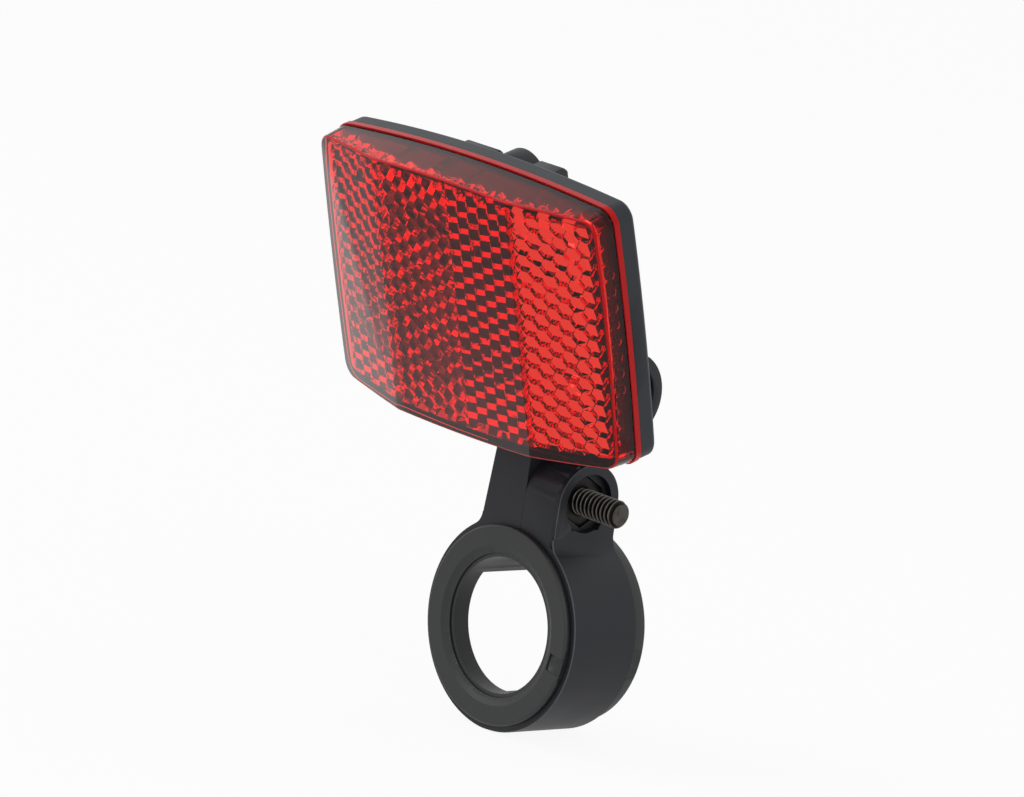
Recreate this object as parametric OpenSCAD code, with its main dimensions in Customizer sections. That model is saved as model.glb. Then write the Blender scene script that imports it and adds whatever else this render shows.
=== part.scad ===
// Bicycle reflector head on a tilting bar clamp, millimetres
// Origin: centre of the bar bore. X right, Y back, Z up. The bar runs along Y.

/* [Clamp] */
// diameter of the bar the clamp grips
bar_d = 23.6; // [20:0.1:25]
// outer diameter of the band
band_d = 37; // [35:0.5:42]
// width of the band along the bar
band_w = 14.4; // [12:0.2:18]
// diameter of the band's bore, which is the sleeve's outside
sleeve_d = 30; // [28:0.5:32]
// diameter of the shim's flanges
flange_d = 34.8; // [33:0.2:36]
// thickness of the shim's front flange
front_flange_t = 1.2; // [0.8:0.1:2]
// thickness of the shim's rear flange
rear_flange_t = 3.8; // [1:0.1:4]
// depth of the closed front hoop, ahead of the window in the left wall
hoop_l = 4.6; // [3:0.1:8]
// upper end of the window, degrees from the right
window_top = 145; // [130:1:160]
// lower end of the window, degrees from the right
window_bottom = 272; // [240:1:280]
// width of the clamp's slit
slit_w = 0.3; // [0.2:0.05:1]

/* [Neck and ear] */
// half width of the neck left of the bore's middle, at its foot
neck_left = 8.6; // [7:0.1:10]
// half width of the neck left of the middle, at the hinge
neck_top_left = 6.5; // [5:0.1:8]
// right face of the neck, where the slit begins
neck_right = 1.1; // [0:0.1:2]
// height above the bore at which the neck's front face starts to lean back
neck_bend_z = 30; // [26:0.5:34]
// outer face of the ear
ear_x = 9.5; // [9:0.1:12]
// height of the clamp bolt above the bore
bolt_z = 23.7; // [22.5:0.1:26]
// radius of the ear's round top
ear_r = 7.2; // [6.5:0.1:8]
// chamfer round the ear's outer face
ear_chamfer = 0.8; // [0.2:0.1:1.2]

/* [Fasteners] */
// thread diameter of both fasteners
thread_d = 4.9; // [4:0.1:5]
// width of a nut across its flats
nut_flats = 8; // [7:0.1:8.5]
// thickness of a nut
nut_t = 4; // [3:0.1:4.5]
// free end of the clamp bolt
bolt_end_x = 17.5; // [14:0.5:20]
// head diameter of both fasteners
head_d = 8.5; // [8:0.1:9]
// washer thickness
washer_t = 0.6; // [0.4:0.1:1]

/* [Hinge] */
// hinge axis behind the bore's middle
hinge_y = 3.9; // [0:0.1:8]
// hinge axis above the bore
hinge_z = 42.5; // [40:0.5:48]
// radius of both knuckles
knuckle_r = 7.8; // [7:0.1:9]
// outer face of the carrier's knuckle
knuckle_x = 10; // [9:0.1:12]
// lean of the head about the hinge, top forward, in degrees
head_tilt = 18.8; // [5:0.2:25]
// hinge axis behind the middle of the lens front
hinge_back = 29.2; // [28:0.1:32]
// hinge axis below the middle of the lens front
hinge_drop = 24.7; // [23:0.1:27]

/* [Head] */
// half width of the head at mid height
head_u = 35.2; // [30:0.1:38]
// half height of the head in its middle, at the joint
head_w = 24.8; // [21:0.1:27]
// drop of the top edge from the middle to the corners
edge_sag = 1.9; // [0.5:0.1:3]
// bow of the side edges
side_bow = 0.7; // [0.2:0.1:1.5]
// how much lower the lens front is than the joint, above and below
taper_w = 1; // [0:0.1:1.5]
// corner radius
corner_r = 3; // [2:0.1:5]
// half width of the flat centre panel
crease_u = 16.8; // [14:0.1:20]
// how far the wings fall back at their ends
wing_drop = 4; // [2:0.1:4.5]
// depth of the lens from its front face to the joint
lens_l = 9.2; // [9:0.1:11]
// thickness of the lens panels
panel_t = 2; // [1.5:0.1:2.5]
// thickness of the lens side walls
wall_t = 1.8; // [1.2:0.1:2.5]
// height of the bright rim at the joint
rim_l = 1.1; // [0.6:0.1:2]
// how far the rim stands out of the wall
rim_out = 0.2; // [0.1:0.05:0.4]
// depth of the housing behind the joint
housing_l = 3.9; // [3:0.1:6]
// wall of the housing
housing_t = 1.6; // [1.2:0.1:2.4]

/* [Prisms] */
// vertical pitch of the cube-corner cells
row_pitch = 2.96; // [2.6:0.02:4]
// spacing of the cell columns
column_pitch = 2.6; // [2.2:0.02:3.4]
// how far each cube corner of the centre leans towards the crease, as a shift of its tip
centre_lean = 0.24; // [0:0.01:0.4]
// the same in the wings, towards the head's ends
wing_lean = 0.42; // [0:0.01:0.6]
// distance from the crease to the first wing column
strip_w = 1.6; // [1.2:0.1:3]
// plain margin between the last wing column and the end wall
prism_margin = 0.9; // [0.5:0.1:2]
// number of round pips inside each side wall
pips = 8; // [1:1:10]
// radius of a pip
pip_r = 0.9; // [0.4:0.1:1.2]

/* [Rails] */
// half width of the slot between the rails
slot_u = 5.1; // [4:0.1:6]
// middle of the slot, right of the head's middle
slot_mid = 2; // [0:0.1:3]
// how far the rails stand off the housing's back
rail_l = 4.8; // [3.2:0.1:6]
// top of the right rail
rail_top = 22.8; // [20:0.1:23.6]
// lower end of both rails
rail_foot = -7; // [-10:0.5:-2]

/* [Hidden] */
fine = 96;
fit = 0.05;
band_y0 = -(band_w + front_flange_t + rear_flange_t) / 2 + front_flange_t;
band_y1 = band_y0 + band_w;
shim_y0 = band_y0 - front_flange_t;
shim_y1 = band_y1 + rear_flange_t;
bolt_y = (band_y0 + band_y1) / 2;
hoop_y = shim_y0 + hoop_l;
bolt_hole_r = thread_d / 2 + 0.15;
washer_r = head_d / 2 + 0.35;
head_l = 3.2;
seat_x = -3.6;
recess_l = 1.4;
nut_x1 = ear_x - recess_l - 0.2;
nut_x0 = nut_x1 - nut_t;
friction_t = 0.5;
knuckle_x0 = neck_right + friction_t + fit;
pocket_floor = knuckle_x - 4.2;
hinge_nut_x0 = -neck_top_left + 0.3;
back_v = lens_l + housing_l;
tongue_v1 = back_v + rail_l + 0.4;
foot_w = -head_w + edge_sag + 1;
wing_angle = atan(wing_drop / (head_u - crease_u));

module along_y(y0, y1) translate([0, y1, 0]) rotate([90, 0, 0])
    linear_extrude(height = y1 - y0) children();
module along_x(x0, x1) translate([x0, 0, 0]) rotate([90, 0, 90])
    linear_extrude(height = x1 - x0) children();
module disc_x(x0, x1, r, y, z, n = fine) translate([x0, y, z]) rotate([0, 90, 0])
    cylinder(h = x1 - x0, r = r, $fn = n);
module hex_x(x0, x1, flats, y, z) translate([x0, y, z]) rotate([0, 90, 0])
    cylinder(h = x1 - x0, r = flats / sqrt(3), $fn = 6);
module in_head() translate([0, hinge_y, hinge_z]) rotate([head_tilt, 0, 0])
    translate([0, -hinge_back, hinge_drop]) children();

// Clamp
module window(y0) along_y(y0, shim_y1 + 1)
    polygon([[0, 0], for (a = [window_top : (window_bottom - window_top) / 8 : window_bottom + 0.01])
             40 * [cos(a), sin(a)]]);

module neck_front() polygon([[-neck_left, 9], [-neck_left, 17], [-neck_top_left, hinge_z],
                             [-neck_top_left, hinge_z + 12], [neck_right, hinge_z + 12], [neck_right, 9]]);
module neck_side() {
    lean = asin(knuckle_r / norm([hinge_y - band_y0, hinge_z - neck_bend_z]))
         - atan2(hinge_y - band_y0, hinge_z - neck_bend_z);
    polygon([[band_y0, 9], [band_y0, neck_bend_z],
             [hinge_y - knuckle_r * cos(lean), hinge_z - knuckle_r * sin(lean)],
             [hinge_y, hinge_z], [hinge_y + knuckle_r, hinge_z], [band_y1, 17], [band_y1, 9]]);
    translate([hinge_y, hinge_z]) circle(r = knuckle_r, $fn = fine);
}
module fillet_left() {
    rf = 3;
    cx = -neck_left - rf;
    cz = sqrt(pow(band_d / 2 + rf, 2) - cx * cx);
    difference() {
        polygon([[cx * 0.86, cz * 0.86 - 0.6], [cx, cz], [-neck_left + 0.1, cz],
                 [-neck_left + 0.1, cz - 6]]);
        translate([cx, cz]) circle(r = rf, $fn = fine);
    }
}
module ear_side() {
    translate([bolt_y, bolt_z]) circle(r = ear_r, $fn = fine);
    translate([bolt_y - ear_r, 0]) square([2 * ear_r, bolt_z]);
}
module ear() {
    along_x(neck_right, ear_x - ear_chamfer) ear_side();
    translate([ear_x - ear_chamfer, bolt_y, bolt_z]) rotate([0, 90, 0])
        cylinder(h = ear_chamfer, r1 = ear_r, r2 = ear_r - ear_chamfer, $fn = fine);
    translate([0, 0, 1]) linear_extrude(height = bolt_z - 1)
        polygon([[ear_x - ear_chamfer - 0.5, bolt_y - ear_r], [ear_x - ear_chamfer, bolt_y - ear_r],
                 [ear_x, bolt_y - ear_r + ear_chamfer], [ear_x, bolt_y + ear_r - ear_chamfer],
                 [ear_x - ear_chamfer, bolt_y + ear_r], [ear_x - ear_chamfer - 0.5, bolt_y + ear_r]]);
}
// Arch-shaped recess round the nut, flat below
module nut_recess() {
    r = ear_r - 2;
    translate([bolt_y, bolt_z]) circle(r = r, $fn = fine);
    translate([bolt_y, bolt_z]) polygon([[-r, 0], [-3.1, -4.7], [3.1, -4.7], [r, 0]]);
}
module bracket() color([0.16, 0.17, 0.2]) difference() {
    union() {
        along_y(band_y0, band_y1) circle(d = band_d, $fn = 2 * fine);
        intersection() {
            along_y(band_y0 - 1, hinge_y + knuckle_r + 1) neck_front();
            along_x(-neck_left - 1, neck_right + 1) neck_side();
        }
        along_y(band_y0, band_y1) fillet_left();
        ear();
    }
    along_y(band_y0 - 1, band_y1 + 1) circle(d = sleeve_d, $fn = 2 * fine);
    window(hoop_y);
    translate([neck_right, band_y0 - 1, sleeve_d / 2 - 3]) cube([slit_w, band_w + 2, 20]);
    disc_x(seat_x - 1, nut_x0 + 1, bolt_hole_r, bolt_y, bolt_z);
    disc_x(-neck_left - 1, seat_x, washer_r + 0.2, bolt_y, bolt_z);
    hex_x(nut_x0, ear_x + 1, nut_flats, bolt_y, bolt_z);
    along_x(ear_x - recess_l, ear_x + 1) nut_recess();
    disc_x(-neck_left - 1, neck_right + 1, thread_d / 2, hinge_y, hinge_z);
    hex_x(-neck_left - 1, hinge_nut_x0 + nut_t, nut_flats, hinge_y, hinge_z);
}

module shim() color([0.13, 0.13, 0.14]) difference() {
    rotate([-90, 0, 0]) rotate_extrude($fn = 2 * fine) {
        b = bar_d / 2;
        s = sleeve_d / 2;
        f = flange_d / 2;
        polygon([[b + 2.1, shim_y0], [f - 0.3, shim_y0], [f, shim_y0 + 0.3], [f, band_y0], [s, band_y0],
                 [s, band_y1], [f, band_y1], [f, shim_y1 - 0.6], [f - 0.6, shim_y1], [b + 0.6, shim_y1],
                 [b, shim_y1 - 0.6], [b, shim_y0 + 1.1], [b + 0.7, shim_y0 + 1.1],
                 [b + 0.7, shim_y0 + 0.8]]);
    }
    window(hoop_y);
    rotate([0, 10.6, 0]) translate([flange_d / 2 - 3.2, shim_y0 - 1, -1.55]) cube([4, 1.25, 3.1]);
}

// Threaded rod at its outer diameter, chamfered at its end
module rod(x0, x1, y, z) let (r = thread_d / 2, l = x1 - x0)
    translate([x0, y, z]) rotate([0, 90, 0]) rotate_extrude($fn = fine)
        polygon([[0, 0], [r, 0], [r, l - 0.5], [r - 0.5, l], [0, l]]);
module clamp_bolt() color([0.24, 0.24, 0.25]) difference() {
    union() {
        disc_x(seat_x - washer_t - head_l, seat_x - washer_t, head_d / 2, bolt_y, bolt_z);
        rod(seat_x - washer_t - 0.1, bolt_end_x, bolt_y, bolt_z);
    }
    hex_x(seat_x - washer_t - head_l - 1, seat_x - washer_t - head_l + 2, 4, bolt_y, bolt_z);
}
module clamp_nut() color([0.3, 0.3, 0.31]) difference() {
    hex_x(nut_x0, nut_x1, nut_flats, bolt_y, bolt_z);
    disc_x(nut_x0 - 1, nut_x1 + 1, thread_d / 2, bolt_y, bolt_z);
}
module clamp_washer() color([0.5, 0.5, 0.52]) difference() {
    disc_x(seat_x - washer_t, seat_x, washer_r, bolt_y, bolt_z);
    disc_x(seat_x - washer_t - 1, seat_x + 1, thread_d / 2, bolt_y, bolt_z);
}

// Hinge
module hinge_screw() color([0.24, 0.24, 0.25]) difference() {
    union() {
        disc_x(pocket_floor + fit + washer_t, pocket_floor + fit + washer_t + head_l,
               head_d / 2, hinge_y, hinge_z);
        disc_x(hinge_nut_x0, pocket_floor + fit + washer_t + 0.1, thread_d / 2, hinge_y, hinge_z);
    }
    hex_x(pocket_floor + fit + washer_t + head_l - 2, knuckle_x + 1, 4, hinge_y, hinge_z);
}
module hinge_nut() color([0.5, 0.5, 0.52]) difference() {
    hex_x(hinge_nut_x0, hinge_nut_x0 + nut_t, nut_flats, hinge_y, hinge_z);
    disc_x(hinge_nut_x0 - 1, neck_right, thread_d / 2, hinge_y, hinge_z);
}
module hinge_washer() color([0.5, 0.5, 0.52]) difference() {
    disc_x(pocket_floor + fit, pocket_floor + fit + washer_t, washer_r, hinge_y, hinge_z);
    disc_x(pocket_floor - 1, pocket_floor + 2, thread_d / 2, hinge_y, hinge_z);
}
module friction_washer() color([0.2, 0.2, 0.2]) difference() {
    disc_x(neck_right, neck_right + friction_t, knuckle_r - 0.8, hinge_y, hinge_z);
    disc_x(neck_right - 1, neck_right + 2, thread_d / 2, hinge_y, hinge_z);
}

// Tongue between the rails, foot plate and arm down to the knuckle
module arm_side() {
    top = rail_foot - 0.6;
    polygon([[back_v + 1, top], [tongue_v1, top],
             [hinge_back + knuckle_r * 0.6, -hinge_drop + knuckle_r * 0.8], [hinge_back, -hinge_drop],
             [hinge_back - knuckle_r * 0.5, -hinge_drop - knuckle_r * 0.85], [back_v + 1, foot_w]]);
    translate([hinge_back, -hinge_drop]) circle(r = knuckle_r - 0.1, $fn = fine);
}
module tongue_front(u) {
    top = rail_top + 0.6;
    translate([0, top - u]) circle(r = u, $fn = fine);
    translate([-u, foot_w]) square([2 * u, top - u - foot_w]);
}
module carrier() color([0.15, 0.16, 0.19]) in_head() difference() {
    union() {
        along_y(back_v + fit, tongue_v1) translate([slot_mid, 0]) tongue_front(slot_u - fit);
        translate([slot_mid - slot_u - 1.2, back_v + 1.25, rail_foot])
            cube([2 * slot_u + 2.4, 1.3, rail_top - rail_foot - 4]);
        translate([slot_mid - slot_u + fit, back_v + fit, foot_w])
            cube([slot_u - slot_mid - fit + knuckle_x - 1, 3, rail_foot - 0.5 - foot_w]);
        along_x(knuckle_x0, knuckle_x - 1.8) arm_side();
        disc_x(knuckle_x0, knuckle_x, knuckle_r, hinge_back, -hinge_drop);
    }
    disc_x(knuckle_x0 - 1, knuckle_x + 1, thread_d / 2 + fit, hinge_back, -hinge_drop);
    disc_x(pocket_floor, knuckle_x + 1, knuckle_r - 2.1, hinge_back, -hinge_drop);
}

// Head outline in width and height, inset by g: four large arcs and corner arcs, a quarter at a time
rt = (pow(head_u, 2) + pow(edge_sag, 2)) / (2 * edge_sag);
rs = (pow(head_w, 2) + pow(side_bow, 2)) / (2 * side_bow);
function polar(c, r, a) = c + r * [cos(a), sin(a)];
// Where the top arc and the side arc meet, both inset by c
function meet(c) = let (a = head_w - rt, b = head_u - rs, d = norm([a, b]),
                        l = (pow(rt - c, 2) - pow(rs - c, 2) + d * d) / (2 * d),
                        h = sqrt(pow(rt - c, 2) - l * l))
    [0, a] + l * [b, -a] / d + h * [-a, -b] / d;
function quarter(g) = let (c = max(corner_r, g + 0.3), m = meet(c),
                           t1 = atan2(m[1] - head_w + rt, m[0]), t2 = atan2(m[1], m[0] - head_u + rs))
    concat([for (k = [0 : 3]) polar([head_u - rs, 0], rs - g, t2 * (k + 0.5) / 4)],
           [for (k = [0 : 8]) polar(m, c - g, t2 + (t1 - t2) * k / 8)],
           [for (k = [0 : 9]) polar([0, head_w - rt], rt - g, t1 + (90 - t1) * (k + 0.5) / 10)]);
module outline(g) {
    q = quarter(g);
    n = len(q) - 1;
    polygon(concat(q, [for (k = [n : -1 : 0]) [-q[k][0], q[k][1]]], [for (p = q) -p],
                   [for (k = [n : -1 : 0]) [q[k][0], -q[k][1]]]));
}
module slab(v0, v1, g) along_y(v0, v1) outline(g);
// The lens body, lower towards its front
module taper(g) translate([0, lens_l, 0]) rotate([90, 0, 0])
    linear_extrude(height = lens_l, scale = [1, 1 - taper_w / head_w]) outline(g);

module housing() color([0.16, 0.17, 0.2]) in_head() {
    difference() {
        union() {
            slab(lens_l, back_v - 0.7, 0);
            translate([0, back_v - 0.7, 0]) rotate([-90, 0, 0])
                linear_extrude(height = 0.7, scale = [1 - 0.7 / head_u, 1 - 0.7 / head_w]) outline(0);
            slab(lens_l - 1.4, lens_l + 0.2, wall_t + fit);
            for (s = [-1, 1]) rail(s);
        }
        slab(lens_l - 2, back_v - housing_t, wall_t + fit + 1.2);
        translate([slot_mid - slot_u - 1.25, back_v + 1.2, rail_foot - 1])
            cube([2 * slot_u + 2.5, 1.4, rail_top - rail_foot - 2.5]);
    }
}
// Right rail is a block, the left one a wider tab
module rail(s) {
    w = s > 0 ? 6 : 8.2;
    top = s > 0 ? rail_top : rail_top - 0.5;
    u0 = slot_mid + (s > 0 ? slot_u : -slot_u - w);
    translate([u0, back_v - 0.3, 0]) rotate([90, 0, 90]) linear_extrude(height = w)
        polygon([[0, rail_foot], [rail_l - 0.7, rail_foot], [rail_l + 0.3, rail_foot + 1],
                 [rail_l + 0.3, top - 0.8], [rail_l - 0.5, top], [0, top]]);
}

// Front of the lens in width and depth, moved back by g
module roof(g, v1) {
    e = head_u + 2;
    d = wing_drop * (e - crease_u) / (head_u - crease_u);
    translate([0, 0, -head_w - 2]) linear_extrude(height = 2 * head_w + 4)
        polygon([[-e, d + g], [-crease_u, g], [crease_u, g], [e, d + g], [e, v1], [-e, v1]]);
}
// One cube-corner pin: three square facets at right angles over a six-sided shaft.
// dir is the side its lone edge points away from, lean shifts the tip that way
function rnd(v) = [for (c = v) round(c * 1e4) / 1e4];
function corner_edges(lean) = let (a = column_pitch / 3 - lean, b = row_pitch / 2, z = sqrt(b * b - a * a))
    [[-2 * column_pitch / 3 - lean, 0, (2 * column_pitch / 3 + lean) * a / z], [a, b, z], [a, -b, z]];
module pin(u, w, dir, lean) {
    e = corner_edges(lean);
    tip = max(e[0][2], e[1][2]) + e[1][2];
    p = -(e[0][0] + 2 * e[1][0]) / 2;
    ring = [for (k = [0 : 2]) each let (n = e[(k + 1) % 3])
        [[p + e[k][0], e[k][1], tip - e[k][2]], [p + e[k][0] + n[0], e[k][1] + n[1], tip - e[k][2] - n[2]]]];
    hull() polyhedron(
        points = concat([rnd([u + dir * p, panel_t + tip, w])],
            [for (q = ring) rnd([u + dir * q[0], panel_t + q[2], w + q[1]])],
            [for (q = ring) rnd([u + dir * q[0], panel_t - 0.5, w + q[1]])]),
        faces = [[0, 1, 2], [0, 2, 3], [0, 3, 4], [0, 4, 5], [0, 5, 6], [0, 6, 1],
                 [1, 7, 8, 2], [2, 8, 9, 3], [3, 9, 10, 4], [4, 10, 11, 5], [5, 11, 12, 6], [6, 12, 7, 1],
                 [12, 11, 10, 9, 8, 7]]);
}
// A column of pins at distance x from where the module stands, u from the head's middle
module column(x, u, odd, s, dir, lean) {
    n = floor((head_w - taper_w - edge_sag * pow(u / head_u, 2) - wall_t) / row_pitch - odd / 2) + odd / 2;
    for (j = [-n : 1 : n + 0.01]) pin(s * x, j * row_pitch, s * dir, lean);
}
module wing(s) translate([s * crease_u, 0, 0]) rotate([0, 0, s * wing_angle])
    for (i = [0 : floor(((head_u - crease_u) / cos(wing_angle) - wall_t - prism_margin - strip_w) / column_pitch)])
        column(strip_w + i * column_pitch, crease_u + strip_w + i * column_pitch, i % 2, s, -1, wing_lean);
module lens() color([0.8, 0.08, 0.07]) in_head() {
    difference() {
        union() {
            intersection() { taper(0); roof(0, lens_l); }
            slab(lens_l - rim_l, lens_l, -rim_out);
        }
        intersection() { taper(wall_t); roof(panel_t, lens_l + 1); }
        slab(lens_l - 0.01, lens_l + 1, wall_t);
    }
    for (s = [-1, 1]) {
        for (i = [0 : floor((crease_u - 0.6) / column_pitch - 1)])
            column((i + 0.5) * column_pitch, i * column_pitch, (i + (s > 0 ? 0 : 1)) % 2, s, 1, centre_lean);
        wing(s);
        for (i = [0 : pips - 1]) {
            w = 4 * row_pitch - i * row_pitch;
            translate([s * (head_u - side_bow * pow(w / head_w, 2) - wall_t), wing_drop + panel_t + pip_r, w])
                rotate([0, -s * 90, 0]) translate([0, 0, -0.4]) cylinder(h = 0.8, r = pip_r, $fn = 16);
        }
    }
}

lens();
housing();
carrier();
bracket();
shim();
clamp_bolt();
clamp_nut();
clamp_washer();
hinge_screw();
hinge_nut();
hinge_washer();
friction_washer();
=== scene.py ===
# Bicycle reflector on a bar clamp, dressed over its CAD solids
import math

import bpy
from mathutils import Matrix, Vector


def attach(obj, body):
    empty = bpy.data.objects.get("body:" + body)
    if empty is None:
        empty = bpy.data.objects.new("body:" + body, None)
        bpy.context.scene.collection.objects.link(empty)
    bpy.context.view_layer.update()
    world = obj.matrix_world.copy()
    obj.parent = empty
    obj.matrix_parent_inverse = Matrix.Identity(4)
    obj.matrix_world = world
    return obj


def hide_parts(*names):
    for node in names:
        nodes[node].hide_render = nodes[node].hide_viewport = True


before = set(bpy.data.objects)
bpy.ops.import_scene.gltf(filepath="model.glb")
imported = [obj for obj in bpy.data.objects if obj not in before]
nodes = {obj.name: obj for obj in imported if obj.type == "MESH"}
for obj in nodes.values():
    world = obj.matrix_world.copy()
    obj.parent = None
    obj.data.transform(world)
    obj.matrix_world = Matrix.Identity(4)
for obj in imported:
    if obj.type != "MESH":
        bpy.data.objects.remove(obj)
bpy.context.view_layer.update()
print("CAD solids loaded:", len(nodes))

mm = 0.001
weld = 0.002 * mm  # points nearer than this become one
flatAngle = math.radians(0.4)  # faces closer to flat than this become one


# small helpers
def clearSelection():
    if bpy.context.object and bpy.context.object.mode != "OBJECT":
        bpy.ops.object.mode_set(mode="OBJECT")
    bpy.ops.object.select_all(action="DESELECT")


def pick(*objs):
    clearSelection()
    for o in objs:
        o.select_set(True)
    bpy.context.view_layer.objects.active = objs[0]


def bakePlace(obj):  # the place goes into the mesh, the object sits at the origin
    pick(obj)
    bpy.ops.object.transform_apply(location=True, rotation=True, scale=True)


def applyModifier(obj, kind, **values):
    pick(obj)
    mod = obj.modifiers.new(kind.lower(), kind)
    for key, value in values.items():
        setattr(mod, key, value)
    bpy.ops.object.modifier_apply(modifier=mod.name)


def dress(obj, body, material, stands=()):
    obj.data.materials.clear()
    obj.data.materials.append(material)
    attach(obj, body)
    if stands:
        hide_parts(*stands)
    return obj


# a copy of a CAD solid with its loose triangles merged
def mergedCopy(node, name):
    copy = bpy.data.objects.new(name, nodes[node].data.copy())
    bpy.context.scene.collection.objects.link(copy)
    pick(copy)
    bpy.ops.object.mode_set(mode="EDIT")
    bpy.ops.mesh.select_all(action="SELECT")
    bpy.ops.mesh.remove_doubles(threshold=weld)
    bpy.ops.mesh.dissolve_limited(angle_limit=flatAngle)
    bpy.ops.object.mode_set(mode="OBJECT")
    return copy


# selects what the test accepts and leaves the object in edit mode
def choose(obj, kind, test):
    pick(obj)
    bpy.ops.object.mode_set(mode="EDIT")
    bpy.ops.mesh.select_mode(type=kind)
    bpy.ops.mesh.select_all(action="DESELECT")
    bpy.ops.object.mode_set(mode="OBJECT")
    mesh = obj.data
    for part in {"VERT": mesh.vertices, "EDGE": mesh.edges, "FACE": mesh.polygons}[kind]:
        part.select = bool(test(part))
    bpy.ops.object.mode_set(mode="EDIT")


# rounds the edges sharper than the angle; the test sees an edge's middle in millimetres
def roundEdges(obj, width, where=None, shine=-1, segments=2, angle=28):
    mesh = obj.data
    sides = {}
    for face in mesh.polygons:
        for key in face.edge_keys:
            sides.setdefault(key, []).append(face.normal.copy())

    def sharp(edge):
        pair = sides.get(tuple(sorted(edge.vertices)), ())
        if len(pair) != 2 or pair[0].angle(pair[1], 0) < math.radians(angle):
            return False
        first, second = (mesh.vertices[i].co for i in edge.vertices)
        return where is None or where(*((first + second) / 2 / mm))

    choose(obj, "EDGE", sharp)
    bpy.ops.mesh.bevel(
        offset=width * mm, segments=segments, profile=0.5, clamp_overlap=False,
        miter_outer="ARC", material=shine,
    )
    bpy.ops.object.mode_set(mode="OBJECT")


def smoothShade(obj, angle=32):
    pick(obj)
    bpy.ops.object.shade_smooth_by_angle(angle=math.radians(angle))


def roundedCopy(node, name, width, where=None):
    copy = mergedCopy(node, name)
    if width:
        roundEdges(copy, width, where=where)
    smoothShade(copy)
    return copy


def mathNode(add, operation, value=None):
    node = add("ShaderNodeMath")
    node.operation = operation
    if value is not None:
        node.inputs[1].default_value = value
    return node


# fine moulded grain with broad handling marks, shared by all plastics and the rubber
grain = {"detail": 3, "markScale": 130, "markDetail": 5}


def buildGrainGroup(values):
    group = bpy.data.node_groups.new("mouldGrain", "ShaderNodeTree")
    for label, way, kind in (
        ("Vector", "INPUT", "Vector"), ("Colour", "INPUT", "Color"), ("Scale", "INPUT", "Float"),
        ("Mottle", "INPUT", "Float"), ("Roughness", "INPUT", "Float"),
        ("Colour", "OUTPUT", "Color"), ("Roughness", "OUTPUT", "Float"),
        ("Height", "OUTPUT", "Float"),
    ):
        group.interface.new_socket(label, in_out=way, socket_type="NodeSocket" + kind)
    add, link = group.nodes.new, group.links.new
    start, end = add("NodeGroupInput"), add("NodeGroupOutput")
    fine = add("ShaderNodeTexNoise")  # spark-eroded grain
    fine.inputs["Detail"].default_value = values["detail"]
    link(start.outputs["Vector"], fine.inputs["Vector"])
    link(start.outputs["Scale"], fine.inputs["Scale"])
    broad = add("ShaderNodeTexNoise")  # handling marks
    broad.inputs["Scale"].default_value = values["markScale"]
    broad.inputs["Detail"].default_value = values["markDetail"]
    link(start.outputs["Vector"], broad.inputs["Vector"])
    tone = mathNode(add, "SUBTRACT", 0.5)  # swings round zero
    link(broad.outputs["Fac"], tone.inputs[0])
    swing = mathNode(add, "MULTIPLY")
    link(tone.outputs[0], swing.inputs[0])
    link(start.outputs["Mottle"], swing.inputs[1])
    lift = mathNode(add, "ADD", 1)
    link(swing.outputs[0], lift.inputs[0])
    shade = add("ShaderNodeVectorMath")
    shade.operation = "SCALE"
    link(start.outputs["Colour"], shade.inputs[0])
    link(lift.outputs[0], shade.inputs["Scale"])
    link(shade.outputs[0], end.inputs["Colour"])
    rough = mathNode(add, "MULTIPLY")
    link(start.outputs["Roughness"], rough.inputs[0])
    link(lift.outputs[0], rough.inputs[1])
    link(rough.outputs[0], end.inputs["Roughness"])
    link(fine.outputs["Fac"], end.inputs["Height"])
    return group


grainGroup = buildGrainGroup(grain)


def newMaterial(name):
    material = bpy.data.materials.new(name)
    material.use_nodes = True
    return material, material.node_tree, material.node_tree.nodes["Principled BSDF"]


def mouldedPlastic(name, values):
    material, tree, skin = newMaterial(name)
    add, link = tree.nodes.new, tree.links.new
    place = add("ShaderNodeTexCoord")
    mould = add("ShaderNodeGroup")
    mould.node_tree = grainGroup
    link(place.outputs["Object"], mould.inputs["Vector"])
    mould.inputs["Colour"].default_value = (*values["colour"], 1)
    mould.inputs["Scale"].default_value = values["grain"]
    mould.inputs["Mottle"].default_value = values["mottle"]
    mould.inputs["Roughness"].default_value = values["roughness"]
    link(mould.outputs["Colour"], skin.inputs["Base Color"])
    link(mould.outputs["Roughness"], skin.inputs["Roughness"])
    bump = add("ShaderNodeBump")
    bump.inputs["Strength"].default_value = values["depth"]
    bump.inputs["Distance"].default_value = values["bump"] * mm
    link(mould.outputs["Height"], bump.inputs["Height"])
    link(bump.outputs["Normal"], skin.inputs["Normal"])
    skin.inputs["IOR"].default_value = values["ior"]
    return material


nylon = {"colour": (0.0095, 0.0105, 0.0145), "roughness": 0.52, "ior": 1.4,
         "grain": 5200, "mottle": 0.25, "depth": 0.5, "bump": 0.02}
# lighter, glossier nylon for the bevels of chosen edges: a painted highlight line
highlightNylon = {**nylon, "colour": (0.07, 0.073, 0.077), "roughness": 0.3}
tray = {"colour": (0.010, 0.013, 0.018), "roughness": 0.46, "ior": 1.42,
        "grain": 6500, "mottle": 0.2, "depth": 0.35, "bump": 0.02}
rubber = {"colour": (0.0125, 0.0135, 0.014), "roughness": 0.5, "ior": 1.5,
          "grain": 4200, "mottle": 0.3, "depth": 0.4, "bump": 0.02}
bracketBlack = mouldedPlastic("bracketBlack", nylon)
housingBlack = mouldedPlastic("housingBlack", tray)
shimRubber = mouldedPlastic("shimRubber", rubber)
bracketPaintedHighlight = mouldedPlastic("bracketPaintedHighlight", highlightNylon)
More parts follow.
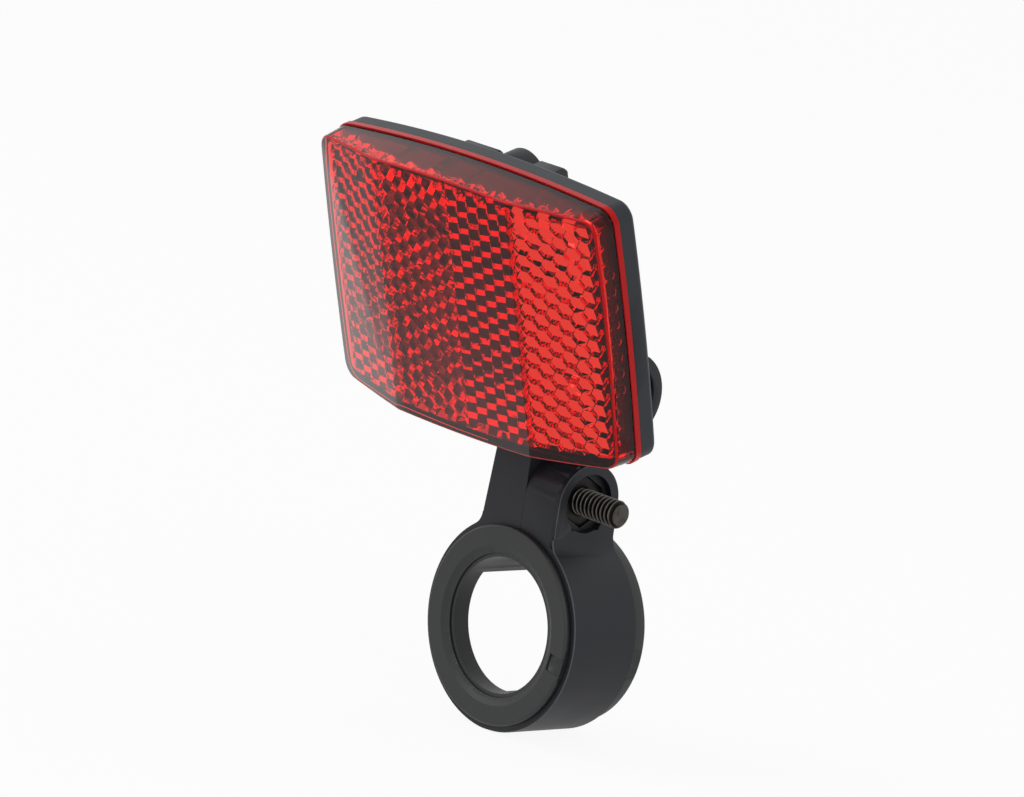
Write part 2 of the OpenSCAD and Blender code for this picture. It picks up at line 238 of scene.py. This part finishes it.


# clear red acrylic: the rim is frosted; the left wing gets a whiter reflection tint as painted
# sheen, the right wing a darker red as painted shade
acrylic = {"colour": (1.0, 0.034, 0.022), "ior": 1.49, "roughness": 0.0, "clear": 1, "sheen": 0.3}
# frosted red for the joint rim, also put on the front edges as a painted red highlight line
rimAndHighlightAcrylic = {**acrylic, "colour": (0.66, 0.014, 0.016), "roughness": 0.35, "clear": 0.3,
              "sheen": 0.12}
# left wing: a whiter reflection tint, a painted sheen
paintedSheenAcrylic = {**acrylic, "sheen": 0.5}
# right wing: a darker red, painted shade
paintedShadeAcrylic = {**acrylic, "colour": (0.78, 0.034, 0.022)}


def buildAcrylic(name, values):
    material, _, skin = newMaterial(name)
    skin.inputs["Base Color"].default_value = (*values["colour"], 1)
    skin.inputs["IOR"].default_value = values["ior"]
    skin.inputs["Roughness"].default_value = values["roughness"]
    skin.inputs["Transmission Weight"].default_value = values["clear"]
    skin.inputs["Specular Tint"].default_value = (*[values["sheen"]] * 3, 1)
    return material


lensRed = buildAcrylic("lensRed", acrylic)
lensRimAndHighlight = buildAcrylic("lensRimAndHighlight", rimAndHighlightAcrylic)
lensPaintedSheen = buildAcrylic("lensPaintedSheen", paintedSheenAcrylic)
lensPaintedShade = buildAcrylic("lensPaintedShade", paintedShadeAcrylic)

# blackened steel with brown mottling; on the bolt the grooves round X are painted dark as shade,
# and the crests keep the lighter steel colour, partly wear and partly painted highlight
steel = {"spots": 900, "detail": 6, "rustFrom": 0.48, "rustTo": 0.72, "smoother": 0.08,
         "rougher": 0.14, "depth": 0.4, "bump": 0.03}
bolt = {"radius": 2.45, "pitch": 1.0, "depth": 0.62, "start": 6.0, "end": 17.5, "chamfer": 0.55,
        "y": -1.3, "z": 23.7, "grooveShade": (0.010, 0.0095, 0.009), "grooveTop": 0.24,
        "crestTop": 0.03, "steps": 40, "overlap": 0.5, "headEdge": 0.25, "headSide": -4,
        "colour": (0.12, 0.115, 0.105), "rust": (0.075, 0.055, 0.04), "roughness": 0.33}
boltHead = {"colour": (0.075, 0.072, 0.066), "rust": (0.05, 0.036, 0.026), "roughness": 0.33}
nut = {"colour": (0.024, 0.0235, 0.023), "rust": (0.034, 0.026, 0.02), "roughness": 0.4}


def buildSteel(name, values, threaded=False):
    material, tree, skin = newMaterial(name)
    add, link = tree.nodes.new, tree.links.new
    skin.inputs["Metallic"].default_value = 1
    place = add("ShaderNodeTexCoord")
    spots = add("ShaderNodeTexNoise")
    spots.inputs["Scale"].default_value = steel["spots"]
    spots.inputs["Detail"].default_value = steel["detail"]
    link(place.outputs["Object"], spots.inputs["Vector"])
    patch = add("ShaderNodeMapRange")
    patch.inputs["From Min"].default_value = steel["rustFrom"]
    patch.inputs["From Max"].default_value = steel["rustTo"]
    link(spots.outputs["Fac"], patch.inputs["Value"])
    metal = add("ShaderNodeMix")
    metal.data_type = "RGBA"
    link(patch.outputs[0], metal.inputs["Factor"])
    metal.inputs["A"].default_value = (*values["colour"], 1)
    metal.inputs["B"].default_value = (*values["rust"], 1)
    surface = metal.outputs["Result"]
    # grooves get a painted shade colour, crests the lighter steel colour
    if threaded:  # distance from the axis tells crest from groove
        offset = add("ShaderNodeVectorMath")
        offset.operation = "SUBTRACT"
        link(place.outputs["Object"], offset.inputs[0])
        offset.inputs[1].default_value = (0, values["y"] * mm, values["z"] * mm)
        flat = add("ShaderNodeVectorMath")
        flat.operation = "MULTIPLY"
        flat.inputs[1].default_value = (0, 1, 1)
        link(offset.outputs[0], flat.inputs[0])
        away = add("ShaderNodeVectorMath")
        away.operation = "LENGTH"
        link(flat.outputs[0], away.inputs[0])
        crest = add("ShaderNodeMapRange")
        crest.inputs["From Min"].default_value = (values["radius"] - values["grooveTop"]) * mm
        crest.inputs["From Max"].default_value = (values["radius"] - values["crestTop"]) * mm
        link(away.outputs["Value"], crest.inputs["Value"])
        blend = add("ShaderNodeMix")
        blend.data_type = "RGBA"
        link(crest.outputs[0], blend.inputs["Factor"])
        blend.inputs["A"].default_value = (*values["grooveShade"], 1)
        link(surface, blend.inputs["B"])
        surface = blend.outputs["Result"]
    link(surface, skin.inputs["Base Color"])
    rough = add("ShaderNodeMapRange")
    rough.inputs["To Min"].default_value = values["roughness"] - steel["smoother"]
    rough.inputs["To Max"].default_value = values["roughness"] + steel["rougher"]
    link(spots.outputs["Fac"], rough.inputs["Value"])
    link(rough.outputs[0], skin.inputs["Roughness"])
    bump = add("ShaderNodeBump")
    bump.inputs["Strength"].default_value = steel["depth"]
    bump.inputs["Distance"].default_value = steel["bump"] * mm
    link(spots.outputs["Fac"], bump.inputs["Height"])
    link(bump.outputs["Normal"], skin.inputs["Normal"])
    return material


threadSteel = buildSteel("threadSteel", bolt, threaded=True)
headSteel = buildSteel("headSteel", boltHead)
nutSteel = buildSteel("nutSteel", nut)
print("materials made")


# helical thread: a zigzag profile screwed round the axis, closed, and cut to a chamfered rod
def buildThread(values):
    r, p, d, c = (values[k] for k in ("radius", "pitch", "depth", "chamfer"))
    length = values["end"] - values["start"]
    clearSelection()
    bpy.ops.mesh.primitive_plane_add(size=mm)
    thread = bpy.context.object
    thread.name = "thread"
    bpy.ops.object.mode_set(mode="EDIT")
    bpy.ops.mesh.select_mode(type="VERT")
    bpy.ops.mesh.select_all(action="SELECT")
    bpy.ops.mesh.merge(type="CENTER")
    bpy.ops.mesh.select_all(action="SELECT")
    bpy.ops.transform.translate(value=((r - d) * mm, 0, -1.5 * p * mm))
    for out, up in ((0, 0.12), (d, 0.36), (0, 0.12), (-d, 0.36), (0, 0.04)):  # one pitch in all
        bpy.ops.mesh.extrude_region_move(
            TRANSFORM_OT_translate={"value": (out * mm, 0, up * p * mm)},
        )
    bpy.ops.object.mode_set(mode="OBJECT")
    applyModifier(
        thread, "SCREW", axis="Z", angle=2 * math.pi, screw_offset=p * mm, steps=values["steps"],
        render_steps=values["steps"], iterations=math.ceil(length / p) + 3,
        use_merge_vertices=True, merge_threshold=weld,
    )
    pick(thread)
    bpy.ops.object.mode_set(mode="EDIT")
    bpy.ops.mesh.select_all(action="SELECT")
    bpy.ops.mesh.remove_doubles(threshold=weld)
    bpy.ops.mesh.fill_holes(sides=0)
    bpy.ops.mesh.select_all(action="SELECT")
    bpy.ops.mesh.normals_make_consistent(inside=False)
    bpy.ops.object.mode_set(mode="OBJECT")
    clearSelection()
    bpy.ops.mesh.primitive_cylinder_add(
        vertices=64, radius=r * mm, depth=(length - c) * mm, location=(0, 0, (length - c) / 2 * mm),
    )
    rod = bpy.context.object
    bakePlace(rod)
    choose(rod, "FACE", lambda f: f.normal.z > 0.9)
    bpy.ops.mesh.extrude_region_move(TRANSFORM_OT_translate={"value": (0, 0, c * mm)})
    bpy.ops.transform.resize(
        value=((r - c) / r, (r - c) / r, 1), center_override=(0, 0, length * mm),
    )
    bpy.ops.object.mode_set(mode="OBJECT")
    applyModifier(thread, "BOOLEAN", operation="INTERSECT", object=rod, solver="EXACT")
    bpy.data.objects.remove(rod)
    thread.rotation_euler = (0, math.pi / 2, 0)
    thread.location = Vector((values["start"], values["y"], values["z"])) * mm
    bakePlace(thread)
    smoothShade(thread, 40)
    thread.data.materials.append(headSteel)
    thread.data.materials.append(threadSteel)
    for face in thread.data.polygons:
        face.material_index = 0 if face.normal.x > 0.9 else 1
    return thread


# the CAD bolt keeps its head and plain shank, and the thread overlaps it a little
def buildBolt(values):
    head = mergedCopy("clamp_bolt", "boltShank")
    choose(head, "VERT", lambda v: True)
    bpy.ops.mesh.bisect(
        plane_co=((values["start"] + values["overlap"]) * mm, 0, 0), plane_no=(1, 0, 0),
        use_fill=True, clear_outer=True,
    )
    bpy.ops.object.mode_set(mode="OBJECT")
    roundEdges(head, values["headEdge"], where=lambda x, y, z: x < values["headSide"])
    smoothShade(head)
    head.data.materials.clear()
    head.data.materials.append(headSteel)
    thread = buildThread(values)
    pick(head, thread)
    bpy.ops.object.join()
    return head


# the head's own frame: across, depth from the lens front and height, in millimetres
headPlace = {"y": 3.9, "z": 42.5, "tilt": 18.8, "back": 29.2, "drop": 24.7}


def inHead(x, y, z):
    t = math.radians(headPlace["tilt"])
    y, z = y - headPlace["y"], z - headPlace["z"]
    return (x, y * math.cos(t) + z * math.sin(t) + headPlace["back"],
            -y * math.sin(t) + z * math.cos(t) - headPlace["drop"])


# lens: a left wing with painted sheen, a right wing with painted shade, rounded front edges with a
# painted red highlight in the frosted rim red, and the joint rim
lensShape = {"halfWidth": 35.2, "crease": 16.8, "drop": 4.0, "depth": 9.2, "rim": 1.1,
             "edge": 0.32, "near": 0.1}


def buildLens(values):
    lens = mergedCopy("lens", "lensBody")
    mesh = lens.data
    turn = Matrix.Rotation(-math.radians(headPlace["tilt"]), 3, "X")

    def front(face):
        u, v, _ = inHead(*(face.center / mm))
        slope = values["drop"] / (values["halfWidth"] - values["crease"])
        roof = max(0, slope * (abs(u) - values["crease"]))
        return (turn @ face.normal).y < -0.9 and abs(v - roof) < values["near"]

    used = {}
    for face in mesh.polygons:
        if front(face):
            for key in face.edge_keys:
                used[key] = used.get(key, 0) + 1
    choose(lens, "EDGE", lambda e: used.get(tuple(sorted(e.vertices))) == 1)
    bpy.ops.object.mode_set(mode="OBJECT")
    mesh.materials.clear()
    for material in (lensRed, lensRimAndHighlight, lensPaintedSheen, lensPaintedShade):
        mesh.materials.append(material)
    for face in mesh.polygons:
        u, v, _ = inHead(*(face.center / mm))
        deep = v > values["depth"] - values["rim"] - values["near"]
        if deep and (turn @ face.normal).y < 0.5:
            face.material_index = 1
        # front faces of the wings: the left takes the whiter-tinted copy as painted sheen, the
        # right the darker copy as painted shade
        elif front(face) and abs(u) > values["crease"]:
            face.material_index = 2 if u < 0 else 3
    bpy.ops.object.mode_set(mode="EDIT")  # the outline is still selected
    # the new edge faces take the frosted rim red: a painted red highlight line along the front
    # outline
    bpy.ops.mesh.bevel(
        offset=values["edge"] * mm, segments=2, profile=0.5, clamp_overlap=False, material=1,
    )
    bpy.ops.object.mode_set(mode="OBJECT")
    return lens


# bracket: slit nearly closed, crisp ear edge with a painted highlight line, fillet down to the band
bracketShape = {"slit": 1.4, "closed": 0.25, "slitTop": 33, "earSide": 9.5, "earY": -1.3,
                "earZ": 23.7, "earFlat": 6.4, "earWanted": 7.0, "front": -8.5, "band": 18.5,
                "edge": 0.16}
filletShape = {"radius": 3.0, "steps": 10, "deep": 14.3, "behind": 0.03, "bite": 0.6,
               "tuck": (0.5, 0.8)}


# fillet from the ear's side down to the band: a strip with a concave arc
def buildFillet(values, around):
    side, band, r = around["earSide"], around["band"], values["radius"]
    cx, cz = side + r, math.sqrt((band + r) ** 2 - (side + r) ** 2)
    low = math.atan2(-cz, -cx) % (2 * math.pi)
    turns = [math.pi + (low - math.pi) * k / values["steps"] for k in range(values["steps"] + 1)]
    arc = [(cx + r * math.cos(t), cz + r * math.sin(t)) for t in turns]
    tuck = (arc[-1][0] - values["tuck"][0], arc[-1][1] - values["tuck"][1])
    outline = [(side - values["bite"], cz), *arc, tuck]
    front = around["front"] + values["behind"]  # just behind the band's own face
    clearSelection()
    bpy.ops.mesh.primitive_plane_add(size=mm)
    web = bpy.context.object
    web.name = "earFillet"
    bpy.ops.object.mode_set(mode="EDIT")
    bpy.ops.mesh.select_mode(type="VERT")
    bpy.ops.mesh.select_all(action="SELECT")
    bpy.ops.mesh.merge(type="CENTER")
    bpy.ops.mesh.select_all(action="SELECT")
    x, z = outline[0]
    bpy.ops.transform.translate(value=(x * mm, front * mm, z * mm))
    for a, b in outline[1:]:
        bpy.ops.mesh.extrude_region_move(
            TRANSFORM_OT_translate={"value": ((a - x) * mm, 0, (b - z) * mm)},
        )
        x, z = a, b
    bpy.ops.mesh.select_all(action="SELECT")
    bpy.ops.mesh.edge_face_add()
    bpy.ops.mesh.extrude_region_move(
        TRANSFORM_OT_translate={"value": (0, values["deep"] * mm, 0)},
    )
    bpy.ops.mesh.select_all(action="SELECT")
    bpy.ops.mesh.normals_make_consistent(inside=False)
    bpy.ops.object.mode_set(mode="OBJECT")
    web.data.materials.append(bracketBlack)
    web.data.materials.append(bracketPaintedHighlight)

    def onArc(u, y, w):
        return abs(y - around["front"]) < 0.05 and abs(math.hypot(u - cx, w - cz) - r) < 0.1

    # the fillet's front arc takes the lighter nylon as a painted highlight
    roundEdges(web, around["edge"], onArc, shine=1)
    return web


def buildBracket(values):
    body = mergedCopy("bracket", "clampBody")
    side, cy, cz = values["earSide"], values["earY"], values["earZ"]
    foot = math.sqrt(values["band"] ** 2 - side ** 2)
    choose(body, "VERT", lambda v: abs(v.co.x / mm - values["slit"]) < 0.01
           and v.co.z / mm < values["slitTop"])
    bpy.ops.transform.translate(value=(-values["closed"] * mm, 0, 0))
    bpy.ops.object.mode_set(mode="OBJECT")
    grow = values["earWanted"] / values["earFlat"]

    def onSide(v, arch):
        x, y, z = v.co / mm
        if abs(x - side) > 0.02 or (z > cz - 0.01) != arch:
            return False
        reach = math.hypot(y - cy, z - cz) if arch else abs(y - cy)
        return abs(reach - values["earFlat"]) < 0.12

    for arch in (True, False):
        choose(body, "VERT", lambda v: onSide(v, arch))
        bpy.ops.transform.resize(value=(1, grow, grow if arch else 1),
                                 center_override=(side * mm, cy * mm, cz * mm))
        bpy.ops.object.mode_set(mode="OBJECT")
    web = buildFillet(filletShape, values)

    # edges whose bevels take the lighter nylon as a painted highlight: the ear's arch and front
    # edges, the band's front edge
    def paintedHighlightEdge(x, y, z):
        onEar = x > side - 0.2
        if abs(y - values["front"]) > 0.4:
            reach = math.hypot(y - cy, z - cz)
            return onEar and z > cz and abs(reach - values["earWanted"]) < 0.3
        onBand = abs(math.hypot(x, z) - values["band"]) < 0.1 and x > 0 and z < foot - 0.6
        return onBand or (onEar and z > foot + 1)

    body.data.materials.clear()
    body.data.materials.append(bracketBlack)
    body.data.materials.append(bracketPaintedHighlight)
    roundEdges(body, values["edge"], paintedHighlightEdge, shine=1)
    pick(body, web)
    bpy.ops.object.join()
    smoothShade(body)
    return body


# shim: the flanges' rims rounded, the mouth's slim faces left flat so that they shade evenly
shimShape = {"edge": 0.15, "flange": 16.5, "notchSide": 14, "notchZ": (-6, 0),
             "mouthDepth": -8.4, "mouthRadius": 14.2}


def buildShim(values):
    shim = mergedCopy("shim", "shimRing")
    low, high = values["notchZ"]

    def onRim(x, y, z):
        notch = x > values["notchSide"] and low < z < high
        return math.hypot(x, z) > values["flange"] and not notch

    def atMouth(face):
        x, y, z = face.center / mm
        return y < values["mouthDepth"] and math.hypot(x, z) < values["mouthRadius"]

    roundEdges(shim, values["edge"], onRim)
    smoothShade(shim)
    choose(shim, "FACE", atMouth)
    bpy.ops.mesh.faces_shade_flat()
    bpy.ops.object.mode_set(mode="OBJECT")
    return shim


lens = buildLens(lensShape)
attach(lens, "head")
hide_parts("lens")
shank = buildBolt(bolt)
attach(shank, "clamp")
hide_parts("clamp_bolt")
body = buildBracket(bracketShape)
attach(body, "clamp")
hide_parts("bracket")
print("lens, bolt and bracket made")

edges = {"tray": 0.3, "trayFront": 0.6, "arm": 0.25, "fastener": 0.25, "washer": 0.08}


def notAtJoint(x, y, z):  # the tray's front edge stays sharp against the lens
    return inHead(x, y, z)[1] > lensShape["depth"] + edges["trayFront"]


tub = roundedCopy("housing", "tray", edges["tray"], notAtJoint)
dress(tub, "head", housingBlack, ["housing"])
arm = roundedCopy("carrier", "arm", edges["arm"])
dress(arm, "head", bracketBlack, ["carrier"])
dress(buildShim(shimShape), "clamp", shimRubber, ["shim"])
for node, name, material, slot, width in (
    ("clamp_nut", "clampNut", nutSteel, "nut_steel", edges["fastener"]),
    ("hinge_nut", "hingeNut", nutSteel, "nut_steel", edges["fastener"]),
    ("hinge_screw", "hingeScrew", headSteel, "bolt_black", edges["fastener"]),
    ("clamp_washer", "clampWasher", nutSteel, "nut_steel", edges["washer"]),
    ("hinge_washer", "hingeWasher", nutSteel, "nut_steel", edges["washer"]),
    ("friction_washer", "frictionWasher", bracketBlack, "friction_black", 0),
):
    dress(roundedCopy(node, name, width), "clamp", material, [node])
print("pieces dressed")


# studio: pale floor, white surroundings, soft lamps
studio = {"floor": (0.85, 0.85, 0.85), "floorSize": 6, "floorZ": -18.6, "floorGlow": 0.92,
          "worldFill": 0.55, "key": 9.0, "fill": 4.0}


# 1 where the camera, a reflection or a look through the lens meets the surroundings
def seenRays(tree):
    add, link = tree.nodes.new, tree.links.new
    rays = add("ShaderNodeLightPath")
    seen = mathNode(add, "ADD")
    link(rays.outputs["Is Camera Ray"], seen.inputs[0])
    link(rays.outputs["Is Glossy Ray"], seen.inputs[1])
    allSeen = mathNode(add, "ADD")
    allSeen.use_clamp = True
    link(seen.outputs[0], allSeen.inputs[0])
    link(rays.outputs["Is Transmission Ray"], allSeen.inputs[1])
    return allSeen.outputs[0]


def buildFloor(values):
    clearSelection()
    height = values["floorZ"] * mm
    bpy.ops.mesh.primitive_plane_add(size=values["floorSize"], location=(0, 0, height))
    floor = bpy.context.object
    floor.name = "floor"
    bakePlace(floor)
    material = bpy.data.materials.new("paleFloor")
    material.use_nodes = True
    tree = material.node_tree
    tree.nodes.clear()
    add, link = tree.nodes.new, tree.links.new
    matt, glow = add("ShaderNodeBsdfDiffuse"), add("ShaderNodeEmission")
    mix, out = add("ShaderNodeMixShader"), add("ShaderNodeOutputMaterial")
    matt.inputs["Color"].default_value = (*values["floor"], 1)
    share = mathNode(add, "MULTIPLY", values["floorGlow"])
    link(seenRays(tree), share.inputs[0])
    link(share.outputs[0], mix.inputs["Fac"])
    link(matt.outputs[0], mix.inputs[1])
    link(glow.outputs[0], mix.inputs[2])
    link(mix.outputs[0], out.inputs["Surface"])
    floor.data.materials.append(material)


def buildWorld(values):
    world = bpy.data.worlds.new("studio")
    bpy.context.scene.world = world
    world.use_nodes = True
    tree = world.node_tree
    add, link = tree.nodes.new, tree.links.new
    sky = tree.nodes["Background"]
    sky.inputs["Color"].default_value = (1, 1, 1, 1)
    level = add("ShaderNodeMapRange")
    level.inputs["To Min"].default_value = values["worldFill"]
    level.inputs["To Max"].default_value = 1.0
    link(seenRays(tree), level.inputs["Value"])
    link(level.outputs[0], sky.inputs["Strength"])


def addLamp(name, place, size, power, aim=(0, 0, 0.03)):
    data = bpy.data.lights.new(name, "AREA")
    data.shape = "RECTANGLE"
    data.size = data.size_y = size
    data.energy = power
    lamp = bpy.data.objects.new(name, data)
    bpy.context.scene.collection.objects.link(lamp)
    lamp.location = place
    lamp.rotation_euler = (Vector(aim) - Vector(place)).to_track_quat("-Z", "Y").to_euler()


buildFloor(studio)
buildWorld(studio)
addLamp("key", (-0.9, -0.9, 1.3), 1.0, studio["key"])
addLamp("fill", (1.2, -0.5, 0.9), 0.8, studio["fill"])
print("studio lit")


# camera fitted to the photograph: angles in degrees, distance and middle in millimetres
shot = {"azimuth": 45.702, "elevation": 10.923, "roll": 8.711, "distance": 1491.7,
        "base": (0, -9.7, 0), "middle": (2.819, 38.98), "sensor": 36, "focalPixels": 8683,
        "imageWidth": 1024, "clip": (0.05, 20)}


def buildCamera(values):
    a, e, t = (math.radians(values[k]) for k in ("azimuth", "elevation", "roll"))
    back = Vector((math.sin(a) * math.cos(e), -math.cos(a) * math.cos(e), math.sin(e)))
    level = Vector((math.cos(a), math.sin(a), 0))
    rise = back.cross(level)
    right = math.cos(t) * level + math.sin(t) * rise
    up = -math.sin(t) * level + math.cos(t) * rise
    x, y = values["middle"]
    place = Vector(values["base"]) + x * right + y * up + values["distance"] * back
    data = bpy.data.cameras.new("photoView")
    data.sensor_width = values["sensor"]
    data.lens = values["focalPixels"] / values["imageWidth"] * values["sensor"]
    data.clip_start, data.clip_end = values["clip"]
    camera = bpy.data.objects.new("photoView", data)
    bpy.context.scene.collection.objects.link(camera)
    turn = Matrix((right, up, back)).transposed().to_4x4()
    camera.matrix_world = Matrix.Translation(place * mm) @ turn
    bpy.context.scene.camera = camera


buildCamera(shot)
bpy.context.scene.view_settings.view_transform = "Standard"
rays = bpy.context.scene.cycles  # light crosses the prisms many times
rays.max_bounces, rays.glossy_bounces, rays.transmission_bounces = 96, 64, 64
